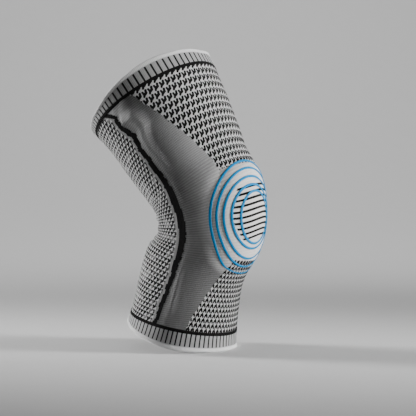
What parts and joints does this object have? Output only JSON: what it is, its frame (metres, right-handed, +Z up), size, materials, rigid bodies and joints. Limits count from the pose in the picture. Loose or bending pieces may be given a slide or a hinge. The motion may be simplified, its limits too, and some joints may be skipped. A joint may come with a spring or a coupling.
{
  "type": "knee sleeve",
  "caption": "Bent knitted knee sleeve with banded cuffs, ribbed side panels, curved black bands and a silicone ring inside round the kneecap.",
  "frame": {"origin": "middle of the knee on the leg's centre line", "axes": "+Z up, +X out of the front of the knee, -Y the wearer's outer side of a right leg; apart from the blue rings the sleeve is symmetric about the XZ plane"},
  "size_m": [0.196, 0.1602, 0.324],
  "materials": {
    "cuff_knit": "knitted",
    "black_knit": "knitted",
    "front_knit": "knitted, two colours",
    "kneecap_knit": "knitted",
    "side_knit": "fine ribbed knit",
    "mesh_knit": "knitted, two colours",
    "silicone": "smooth silicone",
    "ring_print": "raised silicone line"
  },
  "bodies": {
    "root": {"thigh_cuff": "cuff_knit", "calf_cuff": "cuff_knit", "thigh_border_line": "black_knit", "calf_border_line": "black_knit", "thigh_front_panel": "front_knit", "shin_front_panel": "front_knit", "kneecap_panel": "kneecap_knit", "outer_side_panel": "side_knit", "outer_contour_band": "black_knit", "inner_side_panel": "side_knit", "inner_contour_band": "black_knit", "back_mesh_panel": "mesh_knit", "patella_gel_ring": "silicone", "pressure_ring_1": "ring_print", "pressure_ring_2": "ring_print", "pressure_ring_3": "ring_print", "pressure_ring_4": "ring_print", "pressure_ring_5": "ring_print"}
  },
  "joints": []
}
